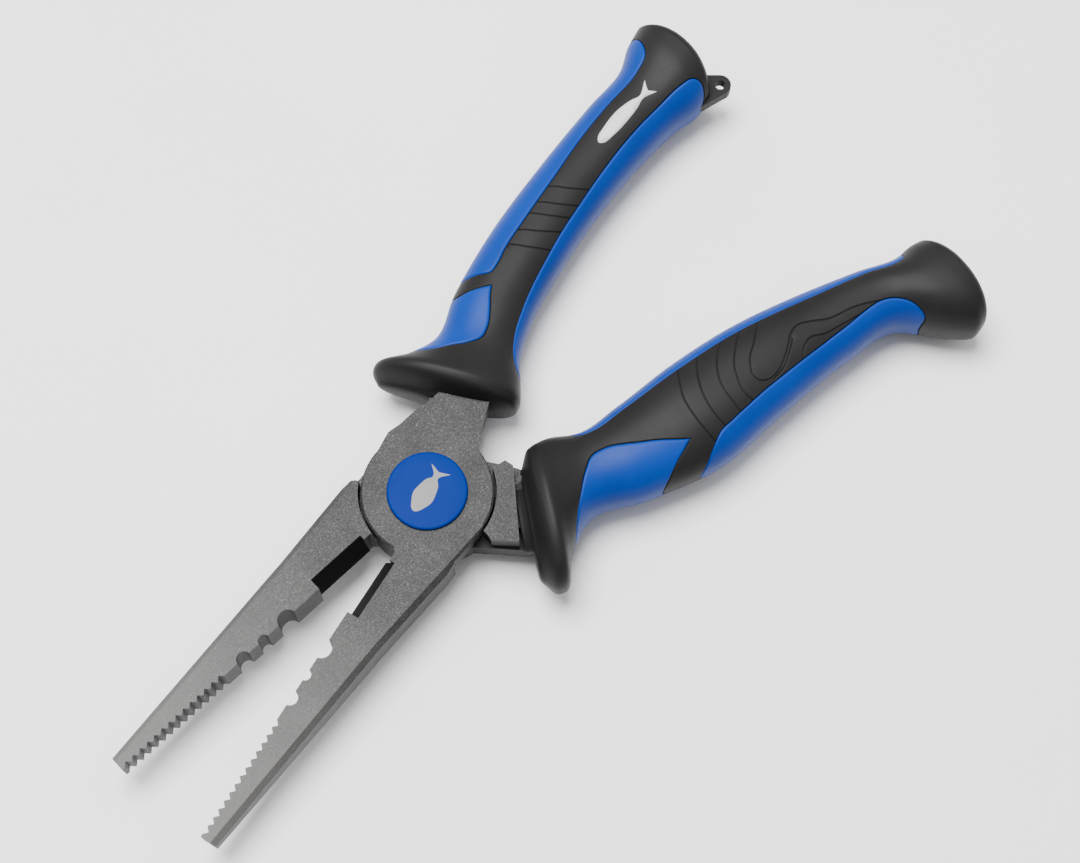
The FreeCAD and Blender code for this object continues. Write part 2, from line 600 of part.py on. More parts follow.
def make_return_spring():
    """Torsion spring in the groove between the plates, one leg up and one leg down."""
    turns = "(Sheet.spring_turns + Sheet.half_opening / 180)"
    rise = f"Sheet.spring_pitch * {turns}"
    coil = doc.addObject("Part::Helix", "spring_helix")
    coil.setExpression("Pitch", "Sheet.spring_pitch")
    coil.setExpression("Height", rise)
    coil.setExpression("Radius", "Sheet.spring_radius")
    wire = doc.addObject("Part::Circle", "spring_wire_section")
    wire.setExpression("Radius", "Sheet.spring_wire_radius")
    wire.Placement.Rotation = Rotation(Vector(1, 0, 0), 90)
    wire.setExpression("Placement.Base.x", "Sheet.spring_radius")
    winding = doc.addObject("Part::Sweep", "spring_winding")
    winding.Sections = [wire]
    winding.Spine = (coil, ["Edge1"])
    winding.Solid = True
    winding.Frenet = True
    leg_length = (f"({PLATE_FACE} + Sheet.spring_groove_depth + Sheet.spring_leg_length"
                  f" - {rise} / 2)")
    legs = []
    for name, turn, start in (("lower", "0", f"-{leg_length}"), ("upper", turns, rise)):
        leg = doc.addObject("Part::Cylinder", f"spring_{name}_leg")
        leg.setExpression("Radius", "Sheet.spring_wire_radius")
        leg.setExpression("Height", leg_length)
        leg.setExpression("Placement.Base.x", f"Sheet.spring_radius * cos({turn} * 360 deg)")
        leg.setExpression("Placement.Base.y", f"Sheet.spring_radius * sin({turn} * 360 deg)")
        leg.setExpression("Placement.Base.z", start)
        legs.append(leg)
    spring = doc.addObject("Part::MultiFuse", "return_spring")
    spring.Shapes = [winding] + legs
    stand(spring, "180 - Sheet.half_opening", f"-{rise} / 2")
    return spring


def make_cap_disc():
    """Round cap pressed into the upper lever, with a shallow bed for its emblem."""
    body = new_body("cap_disc", UPPER)
    low = f"{TOP} - Sheet.cap_seat_depth + Sheet.seat_clearance"
    high = f"{TOP} + Sheet.cap_proud"
    round_feature(body, "Pad", UPPER, "Sheet.cap_radius", low, high, "disc")
    top = body.Tip.Shape.BoundBox.ZMax
    chamfer_edges(body, "cap_disc_rim", "Sheet.cap_edge_chamfer", lambda edge: lies_at(edge, top))
    sketch = new_sketch(body, "cap_disc_bed_outline", offset=f"{high} - Sheet.emblem_depth")
    draw_corners(sketch, outline_corners("cap_emblem", UPPER))
    add_feature(body, "Pocket", sketch, "Sheet.emblem_depth", "cap_disc_emblem_bed")
    return body


def make_cap_emblem():
    body = new_body("cap_emblem", UPPER)
    high = f"{TOP} + Sheet.cap_proud"
    pad_outline(body, "cap_emblem", UPPER, f"{high} - Sheet.emblem_depth", high)
    return body


# ---------------------------------------------------------------- grips

def grip_section(side, station, shrink):
    """One upright ellipse across the handle, smaller all round by an expression."""
    name = f"{side.name}_{station}_section"
    outer = Vector(sheet_values[name + "_outer_x"], side.sign * sheet_values[name + "_outer_y"], 0)
    inner = Vector(sheet_values[name + "_inner_x"], side.sign * sheet_values[name + "_inner_y"], 0)
    across = outer - inner
    heading = Rotation(Vector(1, 0, 0), across)
    ellipse = doc.addObject("Part::Ellipse", f"{name}_{'core' if shrink else 'skin'}")
    span_x = f"(Sheet.{name}_outer_x - Sheet.{name}_inner_x)"
    span_y = f"(Sheet.{name}_outer_y - Sheet.{name}_inner_y)"
    # the longer radius has to stay the longer one while both are being set
    ellipse.MajorRadius = 100
    ellipse.setExpression("MinorRadius", f"Sheet.{name}_half_height{shrink}")
    ellipse.setExpression("MajorRadius", f"sqrt({span_x} ^ 2 + {span_y} ^ 2) / 2{shrink}")
    ellipse.Placement = FreeCAD.Placement((outer + inner) * 0.5,
                                          heading * Rotation(Vector(1, 0, 0), 90))
    return ellipse


def grip_loft(side, stations, name, shrink=""):
    loft = doc.addObject("Part::Loft", name)
    loft.Sections = [grip_section(side, station, shrink) for station in stations]
    loft.Solid = True
    loft.Ruled = False
    stand(loft, side.turn)
    return loft


def prism(side, outline, name, low="-Sheet.taller_than_grip"):
    """An outline extended upward, as a closed solid of its own."""
    corners = [Vector(x[0], y[0], 0) for x, y in outline_corners(outline, side)]
    wire = doc.addObject("Part::Feature", name + "_outline")
    wire.Shape = Part.makePolygon(corners + corners[:1])
    solid = doc.addObject("Part::Extrusion", name)
    solid.Base = wire
    solid.Dir = Vector(0, 0, 1)
    solid.Solid = True
    solid.setExpression("LengthFwd", f"Sheet.taller_than_grip - ({low})")
    stand(solid, side.turn, f"({low})")
    return solid


def combine(kind, name, base, tool):
    """Part::Cut or Part::Common of two objects."""
    result = doc.addObject("Part::" + kind, name)
    result.Base = base
    result.Tool = tool
    doc.recompute()
    return result


def make_lanyard_tab():
    """Flat plate with a hole, moulded into the butt's inner corner."""
    low = "-Sheet.tab_thickness / 2"
    high = "Sheet.tab_thickness / 2"
    body = new_body("lanyard_tab", UPPER)
    pad_outline(body, "lanyard_root", UPPER, low, high)
    centre = ("Sheet.tab_end_x", "Sheet.tab_end_y")
    round_feature(body, "Pad", UPPER, "Sheet.tab_end_radius", low, high, "eye", *centre)
    round_feature(body, "Pocket", UPPER, "Sheet.tab_hole_radius", low, high, "hole", *centre)
    return body


def make_skin(side):
    """The outside shape of a whole grip, with its butt cut to a curve."""
    names = [station[0] for station in GRIP_STATIONS[side.name]]
    loft = grip_loft(side, names, f"{side.name}_grip_loft")
    span = prism(side, f"{side.name}_butt_span", f"{side.name}_grip_span")
    return combine("Common", f"{side.name}_grip_skin", loft, span)


def make_hollow(side):
    """The space inside the soft cover, which the hard core fills."""
    names = [station[0] for station in GRIP_STATIONS[side.name]]
    hollow = grip_loft(side, names, f"{side.name}_grip_hollow", " - Sheet.cover_thickness")
    reach = prism(side, f"{side.name}_core_reach", f"{side.name}_core_span")
    return combine("Common", f"{side.name}_grip_inside", hollow, reach)


def make_grip(side, skin, lever, inserts):
    """A grip on its tang: hard core, soft cover and the three side panels let into it."""
    inside = make_hollow(side)
    core = combine("Cut", f"{side.name}_core_round_tang", inside, lever)
    shell = combine("Cut", f"{side.name}_shell_round_core", skin, inside)
    shell = combine("Cut", f"{side.name}_shell_round_tang", shell, lever)
    for insert in inserts:
        core = combine("Cut", f"{insert.Name}_seat_in_core", core, insert)
        shell = combine("Cut", f"{insert.Name}_seat_in_shell", shell, insert)
    core.Label = f"{side.name}_grip_core"
    cover = shell
    pieces = [core]
    for panel in ("guard_panel", "outer_strip", "inner_strip"):
        name = f"{side.name}_{panel}"
        window = prism(side, name, name + "_window")
        pieces.append(combine("Common", name, shell, window))
        cover = combine("Cut", name + "_opening", cover, window)
    cover.Label = f"{side.name}_grip_cover"
    return pieces + [cover]


def make_badge(skin):
    """Thin inlay that follows the top of the upper grip."""
    blank = prism(UPPER, "upper_grip_badge", "badge_prism", low="Sheet.badge_floor")
    outer = combine("Common", "badge_under_skin", blank, skin)
    lowered = doc.addObject("Part::Loft", "upper_grip_skin_lowered")
    lowered.Sections = skin.Base.Sections
    lowered.Solid = True
    lowered.Ruled = False
    stand(lowered, UPPER.turn, "-Sheet.badge_depth")
    return combine("Cut", "upper_grip_badge", outer, lowered)


# ---------------------------------------------------------------- the assembly

def check_document():
    for item in doc.Objects:
        if "Invalid" in item.State or "Error" in item.State:
            raise RuntimeError(f"{item.Name} failed: {item.State}")


def write_parts(pieces):
    os.makedirs("parts", exist_ok=True)
    for piece in pieces:
        shape = piece.Shape
        if shape.isNull() or not shape.isValid():
            raise RuntimeError(piece.Label + " has no valid shape")
        if len(shape.Solids) != 1:
            raise RuntimeError(f"{piece.Label} is {len(shape.Solids)} solids")
        shape.exportStep(f"parts/{piece.Label}.step")
        print(f"{piece.Label:22s} {shape.Volume:10.1f} mm3")


def main():
    fill_sheet()
    upper_lever = make_upper_lever()
    lower_lever = make_lower_lever()
    lanyard_tab = make_lanyard_tab()
    upper_skin = make_skin(UPPER)
    badge = make_badge(upper_skin)
    pieces = [upper_lever, make_cap_disc(), make_cap_emblem(), lanyard_tab, badge]
    pieces += make_grip(UPPER, upper_skin, upper_lever, [lanyard_tab, badge])
    pieces += [lower_lever, make_pivot_bolt(), make_pivot_nut(), make_tension_washer(),
               make_thrust_washer(), make_return_spring()]
    pieces += make_grip(LOWER, make_skin(LOWER), lower_lever, [])
    check_document()
    write_parts(pieces)


main()
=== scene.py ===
"""Looks for the fishing pliers: detailed two-colour grips, coated steel, studio light and camera."""

import json
import math

import bmesh
import bpy
import numpy as np
from mathutils import Matrix, Vector
from mathutils.geometry import delaunay_2d_cdt


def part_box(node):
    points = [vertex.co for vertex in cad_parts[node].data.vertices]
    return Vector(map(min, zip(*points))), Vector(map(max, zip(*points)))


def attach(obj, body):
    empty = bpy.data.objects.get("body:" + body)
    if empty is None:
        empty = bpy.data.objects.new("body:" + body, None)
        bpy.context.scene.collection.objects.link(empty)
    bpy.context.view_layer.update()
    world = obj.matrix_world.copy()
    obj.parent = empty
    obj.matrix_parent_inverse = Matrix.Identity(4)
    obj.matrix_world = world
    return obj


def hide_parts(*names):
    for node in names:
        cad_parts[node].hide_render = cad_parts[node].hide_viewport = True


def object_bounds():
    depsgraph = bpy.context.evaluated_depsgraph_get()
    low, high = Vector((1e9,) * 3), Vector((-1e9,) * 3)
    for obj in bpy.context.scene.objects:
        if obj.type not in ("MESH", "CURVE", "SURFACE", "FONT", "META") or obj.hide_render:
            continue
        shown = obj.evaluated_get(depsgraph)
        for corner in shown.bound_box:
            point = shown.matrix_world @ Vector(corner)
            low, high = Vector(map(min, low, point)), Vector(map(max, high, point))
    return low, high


MM = 0.001
HALF_OPENING = math.radians(7.22)  # each lever's turn from the mid line, jaws open

# Grip surface
SQUARENESS = 2.4  # 2 is an ellipse; more is a squarer section
GIRTH = 12.0  # mm of surface for one radian, used to keep triangles even
GRID_ALONG = 1.5  # mm between points along a grip
GRID_FINE = 0.4  # the same, over the rounded ends
FINE_LENGTH = 6.0  # mm at each end that count as rounded
GRID_ROUND = 36  # points over half the girth
GRID_CLEARANCE = 0.5  # mm beside a seam or groove without other points
LINE_SPACING = 0.7  # mm between points of a seam or groove

# Points that count as one
SAME_ANGLE = 1e-6  # radians from a side line
SAME_POINT = 1e-5  # mm on the unrolled surface
SAME_VERTEX = 2e-6  # m in a finished mesh
NO_LENGTH = 1e-7  # m; a shorter edge is removed

# Seams and grooves, mm
POCKET_DEPTH = 0.7
POCKET_WALL = 0.12  # width of the pocket's steep wall
SEAM_WIDTH = 0.24  # from the pocket's edge to the panel
PANEL_PROUD = 0.06  # how far a panel stands out of the cover
PANEL_DROP = 0.25  # how far its rounded rim dips
PANEL_ROUNDING = 0.5
PANEL_ROWS = (0.25, 0.55, 1.0, 1.5)  # rows of points inside the rim, as shares of the rounding
PANEL_BACK = 0.55  # depth of its back
GROOVE_DEPTH = 0.45
GROOVE_FLOOR = 0.06  # half the width of the floor
GROOVE_HALF = 0.2  # half the width at the surface
SUPPORT = 0.15  # distance of the row of points that keeps an edge crisp

# Each station: outer edge (x, y), inner edge (x, y), half height and how far its middle bows back,
# mm from the pivot along the lever
UPPER_STATIONS = [
    ((-17.2, -25.5), (-25.2, 0.6), 4.5, 0),
    ((-19.2, -28.0), (-29.0, 5.9), 11.4, 0),
    ((-20.4, -28.2), (-30.2, 6.0), 11.9, 0),
    ((-25.8, -23.6), (-34.0, 4.2), 10.8, 0),
    ((-32.0, -20.0), (-39.0, 0.8), 9.2, 0),
    ((-46.0, -22.0), (-50.0, -2.7), 8.8, 0),
    ((-64.0, -23.1), (-66.0, -4.0), 8.8, 0),
    ((-86.0, -22.2), (-86.0, -3.7), 8.6, 0),
    ((-105.0, -20.5), (-103.0, -1.7), 8.8, 0),
    ((-117.4, -19.0), (-112.5, 0.3), 9.4, 0.8),
    ((-124.8, -20.9), (-119.6, 2.8), 11.0, 2.0),
    ((-129.4, -21.3), (-123.4, 3.3), 11.2, 2.5),
]
LOWER_STATIONS = [
    ((-5.2, -33.0), (-20.4, -10.0), 5.4, 0),
    ((-6.3, -37.4), (-24.1, -7.8), 11.4, 0),
    ((-7.7, -38.1), (-24.9, -7.8), 11.9, 0),
    ((-14.3, -33.4), (-29.6, -9.0), 10.8, 0),
    ((-22.7, -29.7), (-35.3, -12.9), 9.2, 0),
    ((-37.1, -35.6), (-47.1, -14.7), 9.4, 0),
    ((-54.9, -41.7), (-63.0, -16.0), 10.0, 0),
    ((-73.9, -42.5), (-79.9, -18.9), 9.6, 0),
    ((-96.8, -44.0), (-100.5, -25.4), 9.0, 0),
    ((-109.7, -46.4), (-111.6, -29.8), 9.2, 0.8),
    ((-119.2, -57.6), (-122.6, -34.3), 11.0, 1.2),
    ((-122.6, -60.6), (-126.2, -34.3), 11.2, 1.5),
    ((-125.2, -60.4), (-128.6, -34.9), 11.1, 1.6),
]

# Outlines and grooves run over the surface: mm along the grip, degrees round it from its outer side.
# A panel lies between its outline and the outer side (0) or the inner side (180).
# A point given twice is a corner.
UPPER_PANELS = {
    "upper_guard_panel": [
        (9.6, 0), (10, 30), (10.8, 55), (12.9, 70), (14.8, 86), (17, 94), (20, 96), (25, 92),
        (30.5, 85), (30.5, 85), (27.6, 58), (26, 40), (25.6, 0),
    ],
    "upper_outer_strip": [
        (29.4, 0), (30.2, 36), (31.5, 56), (33.6, 77), (36, 78.5), (40, 76.5), (48, 77), (62, 75),
        (75, 69), (87, 67), (95, 66.5), (99.1, 65), (101.3, 53), (102.6, 34), (102.2, 0),
    ],
    "upper_inner_strip": [
        (11, 180), (12.2, 158), (15.4, 146), (20, 139), (29, 135), (40, 130), (50, 126), (59, 124),
        (68.5, 120.5), (78, 117.5), (92, 117), (99, 118.5), (102.4, 124), (104.4, 137), (104.9, 155),
        (104, 180),
    ],
}
LOWER_PANELS = {
    "lower_guard_panel": [
        (11.6, 0), (12.2, 20), (13.4, 42), (15.4, 64), (17.6, 87), (19.6, 96), (23, 97.5), (28.3, 92),
        (34.8, 84), (42.9, 67), (42.9, 67), (38.1, 47), (35.6, 28), (33.9, 0),
    ],
    "lower_outer_strip": [
        (42.3, 0), (44.2, 25), (47.1, 46), (49.8, 56.5), (53.5, 59), (60, 60.5), (75, 62.5),
        (83, 64), (89, 67.5), (94.5, 71.5), (98.4, 73.5), (101.5, 70.5), (104.2, 62.5), (105.9, 47),
        (106.5, 31), (106.1, 17), (105.7, 7), (105.6, 0),
    ],
    "lower_inner_strip": [
        (14, 180), (17, 144), (22.5, 134), (32, 136), (46, 136), (54, 135), (61, 134), (70, 131.5),
        (80, 128), (91, 125.5), (100, 126), (108, 132), (112, 142), (113.4, 155), (113.4, 180),
    ],
}
UPPER_GROOVES = [
    [(41.4, 77), (44.8, 129)],
    [(45.7, 77), (50.3, 127)],
    [(50.8, 77), (54.7, 126)],
    [(54.3, 77), (58.6, 126)],
    [(59.1, 76), (63.7, 123.5)],
]
LOWER_GROOVES = [
    [(48, 136), (46.4, 115), (45.4, 95), (45.8, 83), (46.6, 67), (47.8, 46)],
    [(54, 136), (51, 108), (50, 90), (50.2, 77), (51.4, 55)],
    [(61.2, 135), (58.5, 120), (56.1, 103), (55.1, 90), (55.4, 77), (56.2, 57)],
    [(66.7, 134), (62.9, 112), (59.8, 93), (58.9, 80), (60, 58)],
    [
        (71.5, 131), (67.4, 105), (64.1, 92), (62.9, 84), (63.4, 75), (65.8, 67.5), (69.2, 69.5),
        (72.3, 79), (75.4, 90), (78.8, 96.5), (82.2, 92.5), (86, 87), (92.8, 83), (97.6, 73.5),
    ],
    [(67, 64), (70.3, 68), (73.2, 78), (76, 89)],
    [(75.4, 60), (77, 73), (79.6, 79.5), (83.6, 73), (88, 71.5), (92, 70)],
]
# Fish badge outline, mm: along the grip and across it, from the notch in its tail
FISH = [
    (8.1, 0), (9.4, -2.2), (9.4, -2.2), (5.8, -0.5), (3.5, -1.2), (-1, -1.8), (-6, -1.5), (-9.2, -0.5),
    (-9.6, 0.2), (-8.8, 1), (-5.5, 1.8), (-1, 2.1), (3.5, 1.3), (5.8, 0.5), (9.4, 2.2), (9.4, 2.2),
]
BADGE_PLACE = (85.0, 92.0)  # mm along the grip, degrees round it
BADGE_SPACING = 0.4
BADGE_PROUD = 0.06
BADGE_BACK = 0.3

# Rings that close the ends of a grip: share of the section, mm outward, mm towards the inner side.
# A guard has a blunt nose, the lower one with a collar round the steel; a butt is a shallow dome.
UPPER_NOSE = [
    (0.97, 0.25, 0), (0.92, 0.45, 0), (0.85, 0.6, 0), (0.65, 0.8, 0), (0.4, 0.9, 0), (0.12, 0.95, 0),
]
LOWER_NOSE = [
    (0.97, 0.25, 0), (0.92, 0.45, 0), (0.8, 0.65, 1), (0.66, 0.8, 2.6), (0.65, 2.4, 2.6),
    (0.62, 2.8, 2.6), (0.4, 2.9, 2.6), (0.12, 2.9, 2.6),
]
BUTT_DOME = [
    (0.99, 0.3, 0), (0.968, 0.75, 0), (0.93, 1.25, 0), (0.88, 1.65, 0), (0.8, 2.05, 0), (0.62, 2.5, 0),
    (0.35, 2.75, 0), (0.12, 2.8, 0),
]

# The cap: its rounded rim in mm, its facets, and its flat rings as shares of the radius
CAP_ROUNDING = 0.5
CAP_SIDES = 96
CAP_RIM_STEPS = 7
CAP_UNDER_RING = 0.5
CAP_TOP_RINGS = (0.6, 0.2)
# Fish on the cap, mm from the pivot, from the notch in its tail
CAP_FISH = [
    (-5.1, 0), (-6, -2.6), (-6, -2.6), (-3.5, -0.7), (-1.2, -2), (1.4, -2.5), (4.2, -1.6), (5.7, -0.4),
    (5.7, 0.4), (4.2, 1.6), (1.4, 2.5), (-1.2, 2), (-3.5, 0.7), (-6, 2.6), (-6, 2.6),
]
CAP_FISH_SPACING = 0.25
CAP_FISH_PROUD = 0.02

# Painted shade, near black, in boxes mm from the pivot: from and to along a lever, across it and up.
# Shade painted on the wire cutter's bevels and on the lower lever's neck round and under its raised
# block.
CUTTER_SHADE_BOX = ((18.4, 33.4), (-1.0, 2.85), (-6, 6))
NECK_SHADE_BOX = ((-26, 4), (-34, -12.5), (-6, 4))
# Painted sheen: where the jaws start to get paler, where that ends, mm from the pivot, and how much
TIP_SHEEN_FADE = (25, 92, 0.4)

# A colour mix node's sockets: how much, the two colours and the result
MIX_FACTOR, MIX_FIRST, MIX_SECOND, MIX_RESULT = 0, 6, 7, 2

# Sky: brightness everywhere, then brighter patches: direction, how near to it they begin and are full
# (cosines), brightness. They lie overhead, low on the upper grip's side and low behind the butts.
SKY_LEAST = 0.1
SKY_PATCHES = [
    ((0, 0, 1), 0.6, 0.98, 1.2),
    ((0.154, -0.905, 0.36), 0.5, 0.95, 1.1),
    ((-0.854, 0.339, 0.36), 0.5, 0.95, 0.9),
]
LAMP_PLACE = Vector((-0.05, -0.25, 1.0))  # m from the middle of the pliers
LAMP_SIZE = 0.6  # m across
LAMP_POWER = 27  # W
FLOOR_HALF = 3  # m from its middle to an edge

# Camera: the level direction it leans to and how far from the vertical, where it aims, m from the
# pivot, its distance in m, and its lens and sensor width in mm
LEAN_TOWARD = Vector((0.7768, 0.6297, 0))
LEAN = math.radians(18.5)
AIM = Vector((-0.02917, 0.00988, 0))
CAMERA_DISTANCE = 0.5071
LENS = 71.67
SENSOR_WIDTH = 36


def smooth_slopes(points, gaps):
    """The slope at each point, weighted between the runs before and after it."""
    slope = np.diff(points, axis=0) / gaps[:, None]
    slopes = np.concatenate([slope[:1], slope[:-1], slope[-1:]])
    before, after = gaps[:-1, None], gaps[1:, None]
    slopes[1:-1] = (slope[:-1] * after + slope[1:] * before) / (before + after)
    return slopes


def between(start, end, leave, arrive, t):
    """A smooth step from start to end at share t, with the slopes given for both."""
    blend = t * t * (3 - 2 * t)
    return start + (end - start) * blend + leave * t * (1 - t) ** 2 - arrive * t * t * (1 - t)


class Grip:
    """One grip's surface: a squarish oval section that changes smoothly from station to station."""

    def __init__(self, stations, side):
        self.rows = np.array([[*outer, *inner, *shape] for outer, inner, *shape in stations], float)
        middle = (self.rows[:, 0:2] + self.rows[:, 2:4]) / 2
        gaps = np.linalg.norm(np.diff(middle, axis=0), axis=1)
        self.at = np.concatenate([[0.0], np.cumsum(gaps)])
        self.length = self.at[-1]
        self.slope = smooth_slopes(self.rows, gaps)
        self.side = side

    def section(self, s):
        """Outer edge, inner edge, half height and bow at a distance along the grip."""
        k = np.clip(np.searchsorted(self.at, s, side="right") - 1, 0, len(self.at) - 2)
        width = (self.at[k + 1] - self.at[k])[..., None]
        t = (s - self.at[k])[..., None] / width
        leave, arrive = self.slope[k] * width, self.slope[k + 1] * width
        return between(self.rows[k], self.rows[k + 1], leave, arrive, t)

    def point(self, s, angle):
        """A point of the surface in the lever's own frame, mm, z from the mid plane."""
        outer, inner, height, bow = np.split(self.section(s), [2, 4, 5], axis=-1)
        across, up = np.cos(angle), np.sin(angle)
        across = (np.sign(across) * np.abs(across) ** (2 / SQUARENESS))[..., None]
        up = (np.sign(up) * np.abs(up) ** (2 / SQUARENESS))[..., None]
        half = (outer - inner) / 2
        size = np.linalg.norm(half, axis=-1, keepdims=True)
        back = np.stack([half[..., 1], -half[..., 0]], axis=-1) / size
        flat = (outer + inner) / 2 + half * across + back * bow * (1 - across**2)
        return np.concatenate([flat, height * up], axis=-1)

    def slopes(self, s, angle):
        """How the point moves for 1 mm along and for 1 radian round."""
        ds, da = 0.1, 0.02
        along = (self.point(s + ds, angle) - self.point(s - ds, angle)) / (2 * ds)
        around = (self.point(s, angle + da) - self.point(s, angle - da)) / (2 * da)
        return along, around

    def normal(self, s, angle):
        """The direction straight out of the surface."""
        along, around = self.slopes(s, angle)
        n = np.cross(along, around)
        n /= np.linalg.norm(n, axis=-1, keepdims=True)
        top = np.cross(*self.slopes(np.array(self.length / 2), np.array(math.pi / 2)))
        return n if top[2] > 0 else -n

    def steps(self, low, high):
        """Distances along the grip at which its mesh has points, closer together near both ends."""
        front = np.arange(0, FINE_LENGTH, GRID_FINE)
        middle = np.linspace(FINE_LENGTH, self.length - FINE_LENGTH, int(self.length / GRID_ALONG))
        s = np.concatenate([front, middle, self.length - front[::-1]])
        return s[(s > low) & (s < high)]

    def to_row(self, p):
        """From the lever's own frame in mm to the row frame in metres."""
        return to_row(p, self.side)


def to_row(p, side):
    """From a lever's own frame in mm, turned by half the opening, to the row frame in metres."""
    turn = HALF_OPENING if side == "upper" else -HALF_OPENING
    x, y, z = p[..., 0], p[..., 1] if side == "upper" else -p[..., 1], p[..., 2]
    c, s = math.cos(turn), math.sin(turn)
    return np.stack([x * c - y * s, x * s + y * c, z], axis=-1) * MM + np.array(PIVOT)


# ---------------------------------------------------------------- lines over a grip's surface


def catmull(points, spacing):
    """A smooth line through the points, sampled evenly enough."""
    if len(points) == 2:
        n = max(1, int(np.linalg.norm((points[1] - points[0]) * [1, GIRTH]) / spacing))
        return points[0] + (points[1] - points[0]) * np.linspace(0, 1, n + 1)[:, None]
    gaps = np.linalg.norm(np.diff(points, axis=0) * [1, GIRTH], axis=1)
    slopes = smooth_slopes(points, gaps)
    out = [points[:1]]
    for k, gap in enumerate(gaps):
        t = np.linspace(0, 1, max(2, int(gap / spacing) + 1) + 1)[1:, None]
        out.append(between(points[k], points[k + 1], slopes[k] * gap, slopes[k + 1] * gap, t))
    return np.concatenate(out)


def smooth_line(outline, spacing=LINE_SPACING):
    """The outline as a line in (mm along, radians round). A point given twice is a corner."""
    points = np.array([(s, math.radians(a)) for s, a in outline])
    runs, start = [], 0
    for k in range(1, len(points)):
        if np.allclose(points[k], points[k - 1]):
            runs.append(points[start:k])
            start = k
    runs.append(points[start:])
    line = catmull(runs[0], spacing)
    for run in runs[1:]:
        line = np.concatenate([line, catmull(run, spacing)[1:]])
    return line


def panel_line(outline):
    """The outline with one more point mirrored past each end, so that it crosses the side squarely."""
    border = outline[0][1]
    first, last = outline[1], outline[-2]
    return smooth_line(
        [(first[0], 2 * border - first[1]), *outline, (last[0], 2 * border - last[1])]
    )


def moved(grip, line, distance):
    """The line moved over the surface by a real distance, to its left."""
    along, around = grip.slopes(line[:, 0], line[:, 1])
    g11, g12, g22 = (along * along).sum(1), (along * around).sum(1), (around * around).sum(1)
    ts, ta = np.gradient(line, axis=0).T
    length = np.sqrt(g11 * ts * ts + 2 * g12 * ts * ta + g22 * ta * ta)
    area = np.sqrt(g11 * g22 - g12 * g12)
    left = np.stack([-(g12 * ts + g22 * ta), g11 * ts + g12 * ta], axis=1)
    return line + left * (distance / (length * area))[:, None]


def clipped(line, border):
    """The part of the line on the top half, ending exactly on the side line at each end."""
    inside = (line[:, 1] > 0) & (line[:, 1] < math.pi)
    k = np.flatnonzero(inside)
    first, last = k[0], k[-1]
    out = [line[first : last + 1]]
    if first > 0:
        a, b = line[first - 1], line[first]
        out.insert(0, [a + (b - a) * (border - a[1]) / (b[1] - a[1])])
    if last < len(line) - 1:
        a, b = line[last], line[last + 1]
        out.append([a + (b - a) * (border - a[1]) / (b[1] - a[1])])
    out = np.concatenate(out)
    out[[0, -1], 1] = border
    return out


def distances(points, line):
    """Distance from each 3-D point to a 3-D line of short runs."""
    a, b = line[:-1], line[1:]
    run = b - a
    t = ((points[:, None] - a) * run).sum(-1) / np.maximum((run * run).sum(-1), 1e-12)
    near = a + run * np.clip(t, 0, 1)[..., None]
    return np.sqrt(((points[:, None] - near) ** 2).sum(-1).min(1))


def is_inside(points, loop):
    """Which points lie inside a closed loop, both as (mm along, radians round)."""
    a, b = loop, np.roll(loop, -1, axis=0)
    x, y = points[:, 0][:, None], points[:, 1][:, None]
    crosses = (a[:, 1] > y) != (b[:, 1] > y)
    rise = np.where(b[:, 1] == a[:, 1], 1, b[:, 1] - a[:, 1])
    at = a[:, 0] + (y - a[:, 1]) / rise * (b[:, 0] - a[:, 0])
    return (crosses & (x < at)).sum(1) % 2 == 1


def triangulate(lines, grid, closed_only):
    """Triangles that have every line among their edges."""
    points, edges = [], []
    for line in lines:
        base = len(points)
        points.extend(line)
        edges.extend((base + k, base + k + 1) for k in range(len(line) - 1))
    points.extend(grid)
    flat = [Vector((p[0], p[1] * GIRTH)) for p in points]
    found = delaunay_2d_cdt(flat, edges, [], 1 if closed_only else 0, SAME_POINT)
    return np.array([(v.x, v.y / GIRTH) for v in found[0]]), [tuple(f) for f in found[2]]


def grid_points(grip, lines, low=0.0, high=None):
    """Even points over the top half, none of them too near a line."""
    high = grip.length if high is None else high
    s = grip.steps(low, high)
    angle = np.linspace(0, math.pi, GRID_ROUND + 1)[1:-1]
    grid = np.stack(np.meshgrid(s, angle, indexing="ij"), axis=-1).reshape(-1, 2)
    at = grip.point(grid[:, 0], grid[:, 1])
    keep = np.ones(len(grid), bool)
    for line in lines:
        keep &= distances(at, grip.point(line[:, 0], line[:, 1])) > GRID_CLEARANCE
    return grid[keep]


# ---------------------------------------------------------------- meshes


def finish_mesh(name, vertices, faces, body, material, replaced, smooth=True):
    """A clean mesh in the scene that rides its body and stands in for the node it replaces."""
    mesh = bpy.data.meshes.new(name)
    mesh.from_pydata([tuple(v) for v in vertices], [], faces)
    work = bmesh.new()
    work.from_mesh(mesh)
    bmesh.ops.remove_doubles(work, verts=work.verts, dist=SAME_VERTEX)
    bmesh.ops.dissolve_degenerate(work, edges=work.edges, dist=NO_LENGTH)
    loose = [vertex for vertex in work.verts if not vertex.link_faces]
    bmesh.ops.delete(work, geom=loose, context="VERTS")
    bmesh.ops.recalc_face_normals(work, faces=work.faces)
    for face in work.faces:
        face.smooth = smooth
    work.to_mesh(mesh)
    work.free()
    mesh.materials.append(material)
    item = bpy.data.objects.new(name, mesh)
    bpy.context.collection.objects.link(item)
    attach(item, body)
    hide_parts(replaced)
    return item


def mirrored_halves(top, faces):
    """The top half and its mirror image below the mid plane."""
    bottom = top * [1, 1, -1]
    count = len(top)
    return np.concatenate([top, bottom]), faces + [tuple(count + i for i in reversed(f)) for f in faces]


def ring_faces(k, count):
    """Faces between ring k and the next one, each with this many points."""
    here, there = k * count, (k + 1) * count
    steps = [(i, (i + 1) % count) for i in range(count)]
    return [(here + i, here + j, there + j, there + i) for i, j in steps]


